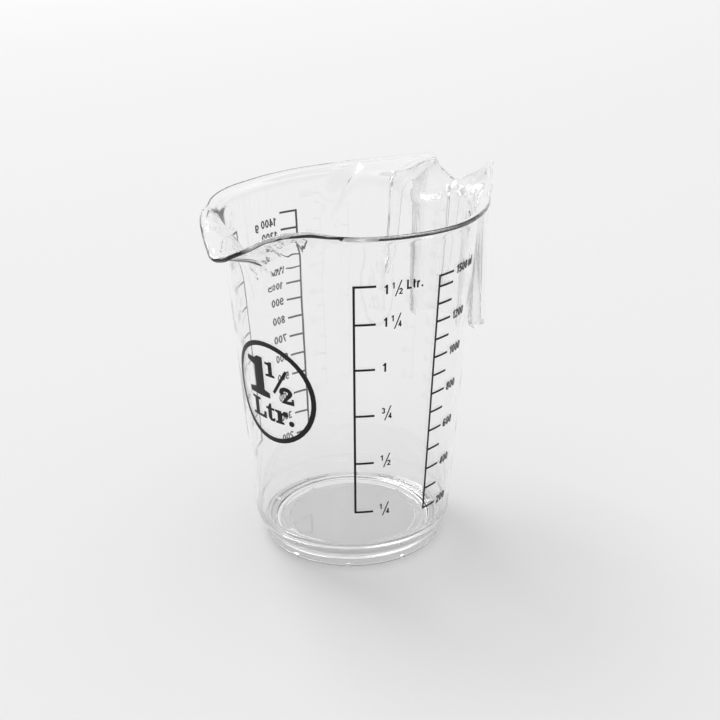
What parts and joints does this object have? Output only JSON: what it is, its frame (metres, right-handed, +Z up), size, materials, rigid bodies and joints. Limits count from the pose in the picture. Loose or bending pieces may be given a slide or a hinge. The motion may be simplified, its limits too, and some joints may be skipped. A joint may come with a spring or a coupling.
{
  "type": "measuring jug",
  "caption": "Clear plastic measuring jug with a broad pouring spout, a hooked grip with a saddle-shaped top, and printed litre, millilitre and gram scales.",
  "frame": {"origin": "on the vessel's axis, at the face of the foot that stands on the table", "axes": "+Z up along the vessel's axis, +X towards the handle, so the spout points along -X"},
  "size_m": [0.198, 0.1394, 0.187],
  "materials": {
    "clear_plastic": "clear, glossy as moulded",
    "black_print": "black screen print"
  },
  "bodies": {
    "root": {"foot_ring": "clear_plastic", "floor_disc": "clear_plastic", "floor_corner": "clear_plastic", "vessel_wall": "clear_plastic", "upper_wall": "clear_plastic", "handle_side_wall": "clear_plastic", "pouring_spout": "clear_plastic", "rim_bead": "clear_plastic", "handle_deck": "clear_plastic", "handle_web_left": "clear_plastic", "handle_web_right": "clear_plastic", "handle_strap": "clear_plastic", "litre_scale_lines": "black_print", "litre_scale_numerals": "black_print", "ml_scale_lines": "black_print", "ml_scale_numerals": "black_print", "sugar_scale_lines": "black_print", "sugar_scale_numerals": "black_print", "flour_scale_lines": "black_print", "flour_scale_numerals": "black_print", "badge_ring": "black_print", "badge_numerals": "black_print"}
  },
  "joints": []
}
